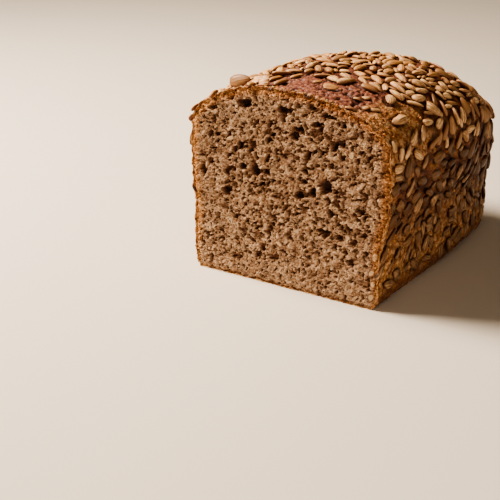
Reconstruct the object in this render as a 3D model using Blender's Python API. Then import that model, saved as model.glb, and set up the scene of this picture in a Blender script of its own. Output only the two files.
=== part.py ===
"""Seeded wheat and rye bread: a tin loaf cut flat across at one end, its crust covered in sunflower kernels.

The origin is under the middle of the loaf, on the plane that it stands on. The cut face looks along -Y and
the heel along +Y, X runs across and Z is up. Lengths are in metres.
"""

import math
import random

import bmesh
import bpy
from mathutils import Matrix, Vector, noise
from mathutils.bvhtree import BVHTree

MM = 0.001

# The loaf, as its tin and the oven shaped it
LENGTH = 142 * MM  # from the cut face to the heel
FRONT = -71.6 * MM  # the cut face, which leaves the heel's kernels inside an evenly placed box
MIDDLE = -1.2 * MM  # the tin's centre line, because the right side swells more than the left
BASE_HALF = 48.5 * MM  # half the tin's width at the bottom
FOOT_FLARE = 3.3 * MM  # what a side gains over its rounded bottom edge
FOOT_HEIGHT = 5 * MM
RIGHT_SWELL = 4.0 * MM  # how far each side bulges over the tin's straight wall
LEFT_SWELL = 1.6 * MM
SWELL_FROM, SWELL_TO = 28 * MM, 52 * MM
SHOULDER = 77 * MM  # where a side turns into the domed top, at the cut
HEEL_SHOULDER = 57 * MM
SHOULDER_TUCK = 0.8 * MM
CROWN = 97.6 * MM  # the top of the dome at the cut
MIDDLE_CROWN = 100 * MM
DOME_ROUND, DOME_RISE, DOME_FALL = 2.33, 1.47, 3.9  # powers: across, up, and along to the heel
HEEL_FALL = 4  # the power by which the shoulder drops towards the heel
CORNER_BOTTOM, CORNER_TOP = 7.4 * MM, 22 * MM  # the heel's upright corners, seen from above
BOW_FROM, BOW = 60 * MM, 7 * MM  # the sides draw in behind this, by this much at the heel
LUMP_SIZE, LUMP_HEIGHT = 26 * MM, 0.9 * MM  # the unevenness of the crust

ACROSS, ALONG, UP = 16, 16, 8  # the faces of the form
CROWDING = 0.92  # draws them together at the shoulders, the heel and the foot

# Sunflower kernels
KERNEL_LENGTHS = (8.5 * MM, 11 * MM)
KERNEL_WIDTH = 0.56  # of the length
KERNEL_THICKNESS = 0.32
KERNEL_SIDES, KERNEL_RINGS = 6, 3
KERNEL_TAPER = 0.45
BROKEN_SHARE = 0.15
BROKEN_WIDTH = 0.77  # a noted kernel wider than this, of its length, is a broken one
TOP_STANDOFF, SIDE_STANDOFF = 0.18, 0  # the kernel's middle over the crust, of its thickness
TOP_SPACING, SIDE_SPACING = 8.4 * MM, 12.5 * MM
KERNEL_COUNT = 178
SIDE_SHARE = 0.5  # of the top's scattered kernels, over the same area
LOWEST_KERNEL = 9 * MM
EDGE_MARGIN = 4 * MM  # scattered kernels keep this far from the cut
BARE_LENGTH, BARE_LEFT, BARE_BOTTOM = 27 * MM, -16 * MM, 60 * MM  # the patch by the cut that stayed bare
SEED = 23

# Kernels that stand out, by hand: across, behind the cut, turn in degrees, length and width in mm
TOP_KERNELS = (
    (-23, 4, 8, 10.5, 6.5),
    (-32, 4, 25, 6, 5),
    (-13, 4, 12, 5.5, 5),
    (-7, 9, 78, 10, 4),
    (-15, 17, 82, 9.5, 4),
    (-13, 30, 22, 9, 5),
    (16, 15, 34, 7, 6),
    (17, 28, 66, 11.5, 4.5),
    (10, 28, 10, 7, 5.5),
    (12, 36, -22, 8, 5),
    (22, 35, -35, 8.5, 4.5),
    (25, 43, -33, 9.5, 5.5),
    (29, 34, -14, 9, 4),
    (35, 45, -13, 10.5, 5),
    (24, 51, 10, 7, 5.5),
    (30, 58, -34, 10, 5.5),
    (40, 28, -64, 8.5, 6),
    (48, 19, 75, 10.5, 6.5),
    (44, 49, 78, 10.5, 6.5),
    (41, 58, 71, 9.5, 5),
    (51, 52, 40, 9, 7),
)
# The same on the right side: behind the cut, up, turn, length and width
RIGHT_KERNELS = (
    (40, 81, 5, 9.5, 5),
    (50, 80, 50, 10, 4.5),
    (31, 76, 96, 10, 5),
    (39, 76, 0, 7, 5),
    (41, 71, -5, 8, 5),
    (22, 76, 50, 9, 5.5),
    (16, 71, 75, 8.5, 5),
    (6, 74, -78, 9, 4),
    (11, 71, -80, 8, 4),
    (26, 67, -45, 8, 5),
    (36, 63, 48, 9, 4.5),
    (6, 66, 12, 8, 6.5),
    (35, 53, 10, 9, 6.5),
    (40, 47, -30, 8, 5.5),
    (88, 56, 66, 10, 5),
    (28, 31, 20, 7, 5),
    (29, 25, 55, 9.5, 4),
    (14, 9, 8, 8, 5),
)

# The crumb's open pores, by hand: across, up, width and height in mm
LARGE_PORES = (
    (-22, 88, 8, 3.8),
    (-1, 88, 6, 4.8),
    (-8, 80, 3, 4.2),
    (7, 80, 7, 3),
    (18, 84, 5.8, 3.2),
    (24, 89, 7.5, 3.2),
    (13, 69, 4.3, 4.8),
    (27, 75, 3.8, 4),
    (-16, 57, 5, 8.4),
    (-23, 57, 5, 3.5),
    (-33, 43, 4.7, 4.2),
    (23, 55, 6.4, 7),
    (16, 51, 4.8, 4.9),
    (8, 48, 4.8, 3.4),
    (1, 41, 3, 3),
    (22, 33, 8.5, 3.5),
    (31, 32, 4.2, 3),
    (26, 43, 3.7, 4),
)
PORE_SIZES = (2.8 * MM, 4.8 * MM)
PORE_COUNT = 54
PORE_GAP = 3.8 * MM
PORE_RIM = 6 * MM  # solid crumb and crust round the cut
PORE_SIDES, PORE_RINGS = 7, 4
PORE_DEPTH = 0.75  # of the mean of its width and height
PORE_ROUGHNESS = 0.25

CRUST, CRUMB, KERNEL = range(3)
ACROSSWARD, LENGTHWARD, UPWARD = Vector((1, 0, 0)), Vector((0, 1, 0)), Vector((0, 0, 1))


def principled(name, color, roughness):
    material = bpy.data.materials.new(name)
    material.use_nodes = True
    shader = material.node_tree.nodes["Principled BSDF"]
    shader.inputs["Base Color"].default_value = (*color, 1)
    shader.inputs["Roughness"].default_value = roughness
    shader.inputs["Metallic"].default_value = 0
    return material


def eased(value, start, end):
    t = min(max((value - start) / (end - start), 0), 1)
    return t * t * (3 - 2 * t)


def crowded(t):
    """Moves a place between 0 and 1 towards 1."""
    turn = CROWDING * math.pi / 2
    return math.sin(t * turn) / math.sin(turn)


def half_width(right, height, shoulder):
    swell = RIGHT_SWELL if right else LEFT_SWELL
    foot = FOOT_FLARE * (1 - math.exp(-height / FOOT_HEIGHT))
    tuck = SHOULDER_TUCK * eased(height / shoulder, 0.8, 1)
    return BASE_HALF + foot + swell * eased(height, SWELL_FROM, SWELL_TO) - tuck


def rounded_corner(x, y, half, end, radius):
    """Bends the plan's square corner at (half, end) into an arc, by moving what lies within its radius."""
    p = (abs(x) - (half - radius)) / radius
    q = (y - (end - radius)) / radius
    if p <= 0 or q <= 0:
        return x, y
    out = half - radius + radius * p * math.sqrt(1 - q * q / 2)
    return math.copysign(out, x), end - radius + radius * q * math.sqrt(1 - p * p / 2)


def loaf_point(a, b, c):
    """Lays a point of a box on the loaf: a is -1 to 1 across, b is 0 to 1 from cut to heel, c 0 to 1 up."""
    shoulder = SHOULDER - (SHOULDER - HEEL_SHOULDER) * b**HEEL_FALL
    height = c * shoulder
    end = LENGTH - 0.8 * FOOT_FLARE * math.exp(-height / FOOT_HEIGHT)
    y = b * end
    bow = BOW * (max(y - BOW_FROM, 0) / (LENGTH - BOW_FROM)) ** 2
    half = half_width(a > 0, height, shoulder) - bow
    radius = CORNER_BOTTOM + (CORNER_TOP - CORNER_BOTTOM) * c * c
    x, y = rounded_corner(a * half, y, half, end, radius)
    if c == 1:
        crown = CROWN + (MIDDLE_CROWN - CROWN) * math.sin(0.9 * math.pi * b)
        dome = max((1 - abs(a) ** DOME_ROUND) * (1 - b**DOME_FALL), 0)
        height += (crown - shoulder) * dome ** (1 / DOME_RISE)
    return Vector((MIDDLE + x, FRONT + y, height))


def cut_into(form, axis, count):
    """Divides every edge of the box along an axis into count."""
    edges = [e for e in form.edges if abs((e.verts[0].co - e.verts[1].co)[axis]) > 0.5]
    bmesh.ops.subdivide_edges(form, edges=edges, cuts=count - 1, use_grid_fill=True)


def flat_faces(form, axis, level):
    return [f for f in form.faces if all(abs(v.co[axis] - level) < 0.01 * MM for v in f.verts)]


def baked_form():
    """The loaf without kernels and pores: a divided box, laid on the loaf's form and made a little uneven."""
    form = bmesh.new()
    bmesh.ops.create_cube(form, size=1)
    for axis, count in enumerate((ACROSS, ALONG, UP)):
        cut_into(form, axis, count)
    for vert in form.verts:
        a, b, c = 2 * vert.co.x, vert.co.y + 0.5, min(vert.co.z + 0.5, 1)
        vert.co = loaf_point(math.copysign(crowded(abs(a)), a), crowded(b), 1 - crowded(1 - c))
    form.normal_update()
    for vert in form.verts:
        at_cut, at_bottom = vert.co.y < FRONT + 0.01 * MM, vert.co.z < 0.01 * MM
        vert.co += vert.normal * LUMP_HEIGHT * noise.noise(vert.co / LUMP_SIZE)
        if at_cut:
            vert.co.y = FRONT
        if at_bottom:
            vert.co.z = 0
    bmesh.ops.dissolve_faces(form, faces=flat_faces(form, 1, FRONT))
    bmesh.ops.dissolve_faces(form, faces=flat_faces(form, 2, 0))
    bmesh.ops.triangulate(form, faces=[f for f in form.faces if len(f.verts) == 4])
    for face in form.faces:
        face.material_index = CRUMB if face.normal.y < -0.999 else CRUST
    return form


def kernel_mesh(name, broken):
    """A sunflower kernel one unit long, wide and thick: pointed at +X, or snapped off square at both ends."""
    form = bmesh.new()
    bmesh.ops.create_uvsphere(form, u_segments=KERNEL_SIDES, v_segments=KERNEL_RINGS, radius=0.5)
    bmesh.ops.rotate(form, verts=form.verts, matrix=Matrix.Rotation(math.pi / 2, 3, "Y"))
    for vert in form.verts:
        if broken:
            vert.co.x = max(min(1.3 * vert.co.x, 0.45), -0.45)
        else:
            vert.co.yz *= 1 - KERNEL_TAPER * (vert.co.x + 0.2)
    for face in form.faces:
        face.material_index = KERNEL
    mesh = bpy.data.meshes.new(name)
    form.to_mesh(mesh)
    form.free()
    return mesh


def lying(normal, along, turn):
    """The axes of what lies on the crust: its X along a line, then turned by degrees about the normal."""
    across = normal.cross(along).normalized()
    axes = Matrix((across.cross(normal), across, normal)).transposed()
    return axes @ Matrix.Rotation(math.radians(turn), 3, "Z")


class Kernels:
    """The kernels laid on the crust so far, each one an object of one collection."""

    def __init__(self, crust, materials):
        self.crust = crust
        self.collection = bpy.data.collections.new("sunflower kernels")
        bpy.context.scene.collection.children.link(self.collection)
        self.meshes = [kernel_mesh("kernel", False), kernel_mesh("broken kernel", True)]
        for mesh in self.meshes:
            for material in materials:
                mesh.materials.append(material)
        self.places = []

    def lay(self, place, normal, along, turn, length, width, broken):
        kernel = bpy.data.objects.new("kernel", self.meshes[broken])
        self.collection.objects.link(kernel)
        thickness = KERNEL_THICKNESS * length
        standoff = thickness * (TOP_STANDOFF if normal.z > 0.5 else SIDE_STANDOFF)
        scaled = lying(normal, along, turn) @ Matrix.Diagonal((length, width, thickness))
        kernel.matrix_world = Matrix.Translation(place + normal * standoff) @ scaled.to_4x4()
        self.places.append(place)

    def lay_at(self, start, direction, along, turn, length, width):
        """Lays a kernel, sized in mm, where a line from outside the loaf meets the crust."""
        place, normal = self.crust.ray_cast(start, direction)[:2]
        broken = width > BROKEN_WIDTH * length
        self.lay(place, normal, along, turn, length * MM, width * MM, broken)

    def crowded(self, place, spacing):
        return any((place - other).length < spacing for other in self.places)


def lay_noted(kernels):
    over, beside = 2 * CROWN, 2 * BASE_HALF
    for across, behind, turn, length, width in TOP_KERNELS:
        start = Vector((MIDDLE + across * MM, FRONT + behind * MM, over))
        kernels.lay_at(start, -UPWARD, ACROSSWARD, turn, length, width)
    for behind, up, turn, length, width in RIGHT_KERNELS:
        start = Vector((beside, FRONT + behind * MM, up * MM))
        kernels.lay_at(start, -ACROSSWARD, LENGTHWARD, turn, length, width)


def stays_bare(place, normal):
    behind = place.y - FRONT
    if place.z < LOWEST_KERNEL or normal.z < -0.9 or behind < EDGE_MARGIN:
        return True
    return behind < BARE_LENGTH and place.x > BARE_LEFT and place.z > BARE_BOTTOM


def random_places(form, rng, count):
    """Points drawn from the faces of the crust by their area, each with its face's normal."""
    faces = [f for f in form.faces if f.material_index == CRUST]
    weights = [f.calc_area() * (1 if f.normal.z > 0.5 else SIDE_SHARE) for f in faces]
    for face in rng.choices(faces, weights=weights, k=count):
        shares = [rng.expovariate(1) for _ in face.verts]
        place = sum((v.co * s for v, s in zip(face.verts, shares)), Vector()) / sum(shares)
        yield place, face.normal.copy()


def scatter_kernels(kernels, form, rng):
    """Fills the crust between the noted kernels, the largest first."""
    wanted = KERNEL_COUNT - len(kernels.places)
    shortest, longest = KERNEL_LENGTHS
    for place, normal in random_places(form, rng, 60 * wanted):
        spacing = TOP_SPACING if normal.z > 0.5 else SIDE_SPACING
        if wanted == 0 or stays_bare(place, normal) or kernels.crowded(place, spacing):
            continue
        left = wanted / KERNEL_COUNT
        length = shortest + (longest - shortest) * left
        width = length * KERNEL_WIDTH * rng.uniform(0.85, 1.1)
        along = ACROSSWARD if normal.y > 0.7 else LENGTHWARD
        turn, broken = rng.uniform(0, 360), rng.random() < BROKEN_SHARE
        kernels.lay(place, normal, along, turn, length, width, broken)
        wanted -= 1


def pore_mesh(rng, number):
    """A pore two units across, with an uneven wall."""
    form = bmesh.new()
    bmesh.ops.create_uvsphere(form, u_segments=PORE_SIDES, v_segments=PORE_RINGS, radius=1)
    bmesh.ops.rotate(form, verts=form.verts, matrix=Matrix.Rotation(math.pi / 2, 3, "X"))
    drift = Vector((rng.uniform(0, 99) for _ in range(3)))
    for vert in form.verts:
        vert.co *= 1 + PORE_ROUGHNESS * noise.noise(1.3 * vert.co + drift)
    for face in form.faces:
        face.material_index = CRUMB
    mesh = bpy.data.meshes.new(f"pore {number}")
    form.to_mesh(mesh)
    form.free()
    return mesh


def pore_places(rng):
    """Every pore as (across, up, width, height, tilt): the large ones, then small ones between them."""
    pores = [(MIDDLE + x * MM, z * MM, w * MM, h * MM, 0) for x, z, w, h in LARGE_PORES]
    for _ in range(60 * PORE_COUNT):
        x, z = rng.uniform(-BASE_HALF, BASE_HALF), rng.uniform(PORE_RIM, CROWN)
        arch = 1 - abs(x / BASE_HALF) ** DOME_ROUND
        ceiling = SHOULDER - PORE_RIM + (CROWN - SHOULDER) * arch ** (1 / DOME_RISE)
        apart = [math.hypot(MIDDLE + x - o[0], z - o[1]) - o[2] / 2 for o in pores]
        if len(pores) == PORE_COUNT or z > ceiling or min(apart) < PORE_GAP:
            continue
        width = rng.uniform(*PORE_SIZES)
        pores.append((MIDDLE + x, z, width, width * rng.uniform(0.55, 0.9), rng.uniform(-0.6, 0.6)))
    return pores


def open_pores(materials, rng):
    """The cutters that open the crumb, half sunk in the cut face."""
    cutters = bpy.data.collections.new("pores")
    bpy.context.scene.collection.children.link(cutters)
    for number, (x, z, width, height, tilt) in enumerate(pore_places(rng)):
        mesh = pore_mesh(rng, number)
        for material in materials:
            mesh.materials.append(material)
        pore = bpy.data.objects.new(mesh.name, mesh)
        pore.location = (x, FRONT + 0.1 * height, z)
        pore.rotation_euler.y = tilt
        pore.scale = (width / 2, PORE_DEPTH * (width + height) / 2, height / 2)
        cutters.objects.link(pore)
    return cutters


def apply_boolean(target, operands, operation):
    """Joins a collection to the target, or cuts it out, and removes the collection with its objects."""
    modifier = target.modifiers.new(operation.lower(), "BOOLEAN")
    modifier.operation = operation
    modifier.operand_type = "COLLECTION"
    modifier.collection = operands
    modifier.solver = "MANIFOLD"
    graph = bpy.context.evaluated_depsgraph_get()
    result = bpy.data.meshes.new_from_object(target.evaluated_get(graph), depsgraph=graph)
    target.modifiers.clear()
    replaced = target.data
    target.data = result
    bpy.data.meshes.remove(replaced)
    for operand in list(operands.objects):
        bpy.data.objects.remove(operand)
    bpy.data.collections.remove(operands)


def keep_largest_body(mesh):
    """Drops loose scraps, and fills the hollows that kernels close between them."""
    form = bmesh.new()
    form.from_mesh(mesh)
    unseen = set(form.verts)
    bodies = []
    while unseen:
        body, edge = set(), [unseen.pop()]
        while edge:
            vert = edge.pop()
            body.add(vert)
            near = {e.other_vert(vert) for e in vert.link_edges} & unseen
            unseen -= near
            edge += near
        bodies.append(body)
    bodies.sort(key=len)
    loose = [v for body in bodies[:-1] for v in body]
    bmesh.ops.delete(form, geom=loose, context="VERTS")
    form.to_mesh(mesh)
    form.free()


def build():
    for leftover in list(bpy.data.objects):
        bpy.data.objects.remove(leftover)
    bread = bpy.data.collections.new("seeded wheat rye bread")
    bpy.context.scene.collection.children.link(bread)
    materials = [
        principled("baked crust", (0.30, 0.13, 0.05), 0.65),
        principled("wheat and rye crumb", (0.36, 0.22, 0.12), 0.9),
        principled("toasted sunflower kernel", (0.52, 0.38, 0.22), 0.55),
    ]
    rng = random.Random(SEED)
    form = baked_form()
    mesh = bpy.data.meshes.new("loaf")
    form.to_mesh(mesh)
    for material in materials:
        mesh.materials.append(material)
    loaf = bpy.data.objects.new("loaf", mesh)
    bread.objects.link(loaf)
    kernels = Kernels(BVHTree.FromBMesh(form), materials)
    lay_noted(kernels)
    scatter_kernels(kernels, form, rng)
    form.free()
    apply_boolean(loaf, kernels.collection, "UNION")
    apply_boolean(loaf, open_pores(materials, rng), "DIFFERENCE")
    keep_largest_body(loaf.data)


build()
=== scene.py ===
"""A seeded wheat and rye loaf, cut across at one end: its crust, its open crumb and its sunflower kernels.

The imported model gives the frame, in metres: the cut looks along -Y, the heel lies at +Y and Z is up.
"""

import math
import random

import bmesh
import bpy
from mathutils import Euler, Matrix, Vector, kdtree, noise
from mathutils.bvhtree import BVHTree


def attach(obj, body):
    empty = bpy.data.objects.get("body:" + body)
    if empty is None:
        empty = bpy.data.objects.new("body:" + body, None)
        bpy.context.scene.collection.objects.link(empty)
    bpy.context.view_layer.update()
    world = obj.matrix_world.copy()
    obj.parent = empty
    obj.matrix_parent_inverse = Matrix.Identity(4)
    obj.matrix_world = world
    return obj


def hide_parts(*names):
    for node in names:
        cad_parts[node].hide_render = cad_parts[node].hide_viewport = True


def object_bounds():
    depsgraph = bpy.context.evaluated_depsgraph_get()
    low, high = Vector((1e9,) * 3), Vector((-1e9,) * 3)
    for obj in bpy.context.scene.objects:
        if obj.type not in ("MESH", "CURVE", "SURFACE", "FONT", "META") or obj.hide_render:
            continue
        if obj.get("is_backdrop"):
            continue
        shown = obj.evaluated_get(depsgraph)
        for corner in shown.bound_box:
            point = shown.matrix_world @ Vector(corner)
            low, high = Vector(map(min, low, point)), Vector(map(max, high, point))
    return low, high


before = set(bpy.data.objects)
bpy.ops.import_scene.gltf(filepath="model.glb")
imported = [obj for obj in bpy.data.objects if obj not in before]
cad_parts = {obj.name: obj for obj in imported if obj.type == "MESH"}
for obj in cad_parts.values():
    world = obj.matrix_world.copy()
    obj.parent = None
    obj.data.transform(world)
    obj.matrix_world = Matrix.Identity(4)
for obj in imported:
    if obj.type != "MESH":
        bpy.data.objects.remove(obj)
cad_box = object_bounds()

MM = 0.001

# The loaf, as its tin and the oven shaped it
LENGTH = 142 * MM  # from the cut face to the heel
FRONT = -71.6 * MM  # the cut face
MIDDLE = -1.2 * MM  # the tin's centre line
BASE_HALF = 48.5 * MM  # half the tin's width at the bottom
FOOT_FLARE = 3.3 * MM  # what a side gains over its rounded bottom edge
FOOT_HEIGHT = 5 * MM
RIGHT_SWELL = 4.0 * MM  # how far each side bulges over the tin's straight wall
LEFT_SWELL = 1.6 * MM
SWELL_FROM, SWELL_TO = 28 * MM, 52 * MM
SHOULDER = 77 * MM  # where a side turns into the domed top, at the cut
HEEL_SHOULDER = 57 * MM
SHOULDER_TUCK = 0.8 * MM
CROWN = 97.6 * MM  # the top of the dome at the cut
MIDDLE_CROWN = 100 * MM
DOME_ROUND, DOME_RISE, DOME_FALL = 2.33, 1.47, 3.9  # powers: across, up, and along to the heel
HEEL_FALL = 4  # the power by which the shoulder drops towards the heel
CORNER_BOTTOM, CORNER_TOP = 7.4 * MM, 22 * MM  # the heel's upright corners, seen from above
BOW_FROM, BOW = 60 * MM, 7 * MM  # the sides draw in behind this, by this much at the heel
LUMP_SIZE, LUMP_HEIGHT = 26 * MM, 0.9 * MM  # the unevenness of the crust
CORE_HALF, CORE_BOTTOM, CORE_TOP = 24 * MM, 24 * MM, 66 * MM  # the cut's outline is seen from this core
# How far the crust broke away along the cut, in mm: the least, and the depth, size and drift of chips
LEAST_CHIP, CHIPS = 0.2, ((1.5, 2.6, 12), (0.6, 1.2, 13))
TOUCHING = 0.01 * MM  # what is this close to a plane lies on it
LEAST_HEIGHT = 0.1 * MM  # kernels and crumb end this far above the loaf's bottom

SEED = 23  # of what is laid at random
WARP_SEED = 7  # of the noise vectors, which would change from run to run without one
ACROSSWARD, LENGTHWARD, UPWARD = Matrix.Identity(3)
MANY_SIDED = 9  # a face with as many sides closes a form below or inside, and stays flat


def eased(value, start, end):
    """Rises softly from 0 at the start to 1 at the end, which may be the lower of the two."""
    t = min(max((value - start) / (end - start), 0), 1)
    return t * t * (3 - 2 * t)


def eased_mm(length, start, end):
    """The same for a length, with the ends in millimetres."""
    return eased(length, start * MM, end * MM)


def half_width(right, height, shoulder):
    """From the centre line to the loaf's side, at a height under the shoulder."""
    swell = RIGHT_SWELL if right else LEFT_SWELL
    foot = FOOT_FLARE * (1 - math.exp(-height / FOOT_HEIGHT))
    tuck = SHOULDER_TUCK * eased(height / shoulder, 0.8, 1)
    return BASE_HALF + foot + swell * eased(height, SWELL_FROM, SWELL_TO) - tuck


def rounded_corner(x, y, half, end, radius):
    """Bends the plan's square corner at (half, end) into an arc, by moving what lies within its radius."""
    p = (abs(x) - (half - radius)) / radius
    q = (y - (end - radius)) / radius
    if p <= 0 or q <= 0:
        return x, y
    out = half - radius + radius * p * math.sqrt(1 - q * q / 2)
    return math.copysign(out, x), end - radius + radius * q * math.sqrt(1 - p * p / 2)


def loaf_point(a, b, c):
    """Lays a point of a box on the loaf: a is -1 to 1 across, b is 0 to 1 from cut to heel, c 0 to 1 up."""
    shoulder = SHOULDER - (SHOULDER - HEEL_SHOULDER) * b**HEEL_FALL
    height = c * shoulder
    end = LENGTH - 0.8 * FOOT_FLARE * math.exp(-height / FOOT_HEIGHT)
    y = b * end
    bow = BOW * (max(y - BOW_FROM, 0) / (LENGTH - BOW_FROM)) ** 2
    half = half_width(a > 0, height, shoulder) - bow
    radius = CORNER_BOTTOM + (CORNER_TOP - CORNER_BOTTOM) * c * c
    x, y = rounded_corner(a * half, y, half, end, radius)
    if c == 1:
        crown = CROWN + (MIDDLE_CROWN - CROWN) * math.sin(0.9 * math.pi * b)
        dome = max((1 - abs(a) ** DOME_ROUND) * (1 - b**DOME_FALL), 0)
        height += (crown - shoulder) * dome ** (1 / DOME_RISE)
    return Vector((MIDDLE + x, FRONT + y, height))


def outward(place):
    """The way out of the cut face's outline, seen from its core."""
    core_x = min(max(place.x, -CORE_HALF), CORE_HALF)
    core_z = min(max(place.z, CORE_BOTTOM), CORE_TOP)
    return Vector((place.x - core_x, 0, place.z - core_z)).normalized()


def lump(place):
    """How far the whole crust bulges at a place, in metres."""
    return LUMP_HEIGHT * noise.noise(place / LUMP_SIZE)


def grain(place, size, drift=0):
    """Soft noise from -1 to 1 with features of a size in millimetres."""
    return noise.noise(place / (size * MM) + Vector((drift, drift, drift)))


def ragged_edge(place):
    """How far behind the cut the crust's edge broke away at a place of its outline."""
    at = Vector((place.x, FRONT, place.z))
    return (LEAST_CHIP + sum(depth * abs(grain(at, size, drift)) for depth, size, drift in CHIPS)) * MM


def cut_into(form, axis, count):
    """Divides every edge of the box along an axis into count."""
    edges = [e for e in form.edges if abs((e.verts[0].co - e.verts[1].co)[axis]) > 0.5]
    bmesh.ops.subdivide_edges(form, edges=edges, cuts=count - 1, use_grid_fill=True)


def linked(name, data):
    """A new object of the scene, at the origin."""
    thing = bpy.data.objects.new(name, data)
    bpy.context.scene.collection.objects.link(thing)
    return thing


def shown(name, form, material):
    """An object made of the form."""
    mesh = bpy.data.meshes.new(name)
    form.to_mesh(mesh)
    form.free()
    mesh.materials.append(material)
    return linked(name, mesh)


def finished(name, form, material, smooth=True):
    """Makes a piece of the form: it rides on the loaf's body and stands for the loaf's plain solid."""
    for face in form.faces:
        face.smooth = smooth and len(face.verts) < MANY_SIDED
    piece = shown(name, form, material)
    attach(piece, "root")
    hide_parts("loaf")


def extruded(form, edges):
    """Draws a form's open edges out, and gives the edges that are open then."""
    made = bmesh.ops.extrude_edge_only(form, edges=edges)["geom"]
    return [g for g in made if isinstance(g, bmesh.types.BMEdge) and g.is_boundary]


def copies(pattern, count):
    """One form of so many copies of a small one."""
    mesh = bpy.data.meshes.new("pattern")
    pattern.to_mesh(mesh)
    pattern.free()
    form = bmesh.new()
    for _ in range(count):
        form.from_mesh(mesh)
    bpy.data.meshes.remove(mesh)
    return form


def shared_out(form, count):
    """The form's points, one lot for each copy."""
    verts = list(form.verts)
    size = len(verts) // count
    return [verts[start : start + size] for start in range(0, len(verts), size)]


def off_middle(x, y, turn, length, width):
    """How far a point lies off the middle of a turned ellipse, whose edge is at 1."""
    c, s = math.cos(math.radians(turn)), math.sin(math.radians(turn))
    return math.hypot((x * c + y * s) / (0.5 * length), (y * c - x * s) / (0.5 * width))


# ---- The crust ----

CRUST_ACROSS, CRUST_ALONG, CRUST_UP = 122, 156, 84  # cells of about 0.9 mm
CRUST_CROWDING = 0.8  # how much the cells crowd towards the sides, the heel and the bottom
# Over these shares of the length cells are half as large: on the bare patch, the right side and elsewhere
FINE_TOP, FINE_RIGHT, FINE_RIM = 0.24, 0.64, 0.05
FINE_TOP_FROM = -0.22  # across the box, which is 1 wide
OUTER, OUTERMOST = 0.49, 0.499  # beyond these a part of the box belongs to its outside
LIP = 0.35 * MM  # how wide the crust's own cut edge is
RECESS = 5.2 * MM  # the crumb's slab sits in this
EDGE_REACH = 4 * MM  # the cut edge is ragged and worn as far as this

BARE_BACK = 27 * MM  # the patch on top by the cut that kept only a few kernels
AMBER_BACK = 13 * MM  # it reaches this much further back where it is amber
BARE_LEFT, BARE_BOTTOM = -16 * MM, 66 * MM  # it ends at these, at the left and down the right shoulder
FLOURY_RIGHT = 37 * MM  # beyond this the bare patch is amber
# Dents that lost kernels left on the patch: across, behind the cut, turn in degrees, length and width in mm
DENTS = (24, 27.5, -10, 9, 3.5), (1, 29, 15, 5, 2.5), (20, 9, 60, 3, 2), (9, 17, 30, 3, 2)

# The skin's own features, in mm
ROUGHNESS = (0.4, 5.5), (0.34, 2.4), (0.26, 1.2)  # heights and sizes
WRINKLES = (0.6, 2.6, 4), (0.4, 1.3, 6)  # heights, sizes and drifts
BLISTERS = 2.4, 0.4, 1.3  # their spacing, and their smallest and largest radius
PIT_DEPTH = 1.1
RIB_WIDTH, RIB_LENGTH, RIB_HEIGHT = 1.7, 14, 0.45  # the tin's upright marks above the foot


def move(vert, step):
    """Moves a vertex of the crust, but not off the cut's plane or the bottom's, nor down to the bottom."""
    at_cut, at_bottom = vert.co.y < FRONT + TOUCHING, vert.co.z < TOUCHING
    vert.co += step
    if at_cut:
        vert.co.y = FRONT
    vert.co.z = 0 if at_bottom else max(vert.co.z, 2 * TOUCHING)


def refine(form):
    """Halves the cells where the skin is seen closest: the bare patch, the right side and along the cut."""
    near = set()
    for face in form.faces:
        middle = face.calc_center_median()
        on_top, on_right = middle.z > OUTER and middle.x > FINE_TOP_FROM, middle.x > OUTER
        reach = max(FINE_RIM, FINE_TOP * on_top, FINE_RIGHT * on_right)
        if middle.z > -OUTER and middle.y + 0.5 < reach:
            near.add(face)
    edges = [e for e in form.edges if not near.isdisjoint(e.link_faces)]
    bmesh.ops.subdivide_edges(form, edges=edges, cuts=1, use_grid_fill=True)


def crowded(t):
    """Moves a place between 0 and 1 towards 1."""
    turn = CRUST_CROWDING * math.pi / 2
    return math.sin(t * turn) / math.sin(turn)


def crust_form():
    """The loaf's outside: a divided box laid on its form, without the cut face."""
    form = bmesh.new()
    bmesh.ops.create_cube(form, size=1)
    for axis, count in enumerate((CRUST_ACROSS, CRUST_ALONG, CRUST_UP)):
        cut_into(form, axis, count)
    front = [f for f in form.faces if all(v.co.y < -OUTERMOST for v in f.verts)]
    bmesh.ops.delete(form, geom=front, context="FACES")
    bottom = [f for f in form.faces if all(v.co.z < -OUTERMOST for v in f.verts)]
    bmesh.ops.dissolve_faces(form, faces=bottom)
    refine(form)
    for vert in form.verts:
        a, b, c = 2 * vert.co.x, vert.co.y + 0.5, min(vert.co.z + 0.5, 1)
        a = math.copysign(crowded(abs(a)), a)
        vert.co = loaf_point(a, crowded(b), 1 - crowded(1 - c))
    form.normal_update()
    for vert in form.verts:
        move(vert, vert.normal * lump(vert.co))
    form.normal_update()
    return form


def bareness(place):
    """1 on the bare patch of the top, 0 where kernels lie."""
    wave = 4 * MM * grain(place, 14, 3)
    behind = place.y - FRONT + wave
    back = BARE_BACK + AMBER_BACK * eased_mm(place.x, 26, 42)
    inside = eased_mm(behind - back, 5, -4)
    inside *= eased_mm(place.x + wave - BARE_LEFT, -4, 4)
    return inside * eased_mm(place.z + wave - BARE_BOTTOM, -4, 5)


def dimples(place, spacing, smallest, largest, drift):
    """The depth, as a share of the largest, of round dents at uneven places, all sizes in millimetres."""
    at = place / (spacing * MM) + Vector((drift, drift, drift))
    deepest = 0
    distances, middles = noise.voronoi(at)
    for distance, middle in zip(distances, middles):
        share = 0.5 + 0.5 * noise.cell(37.7 * middle)
        radius = (smallest + (largest - smallest) * share) / spacing
        if distance < radius:
            deepest = max(deepest, math.sqrt(1 - (distance / radius) ** 2) * radius * spacing / largest)
    return deepest


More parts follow.
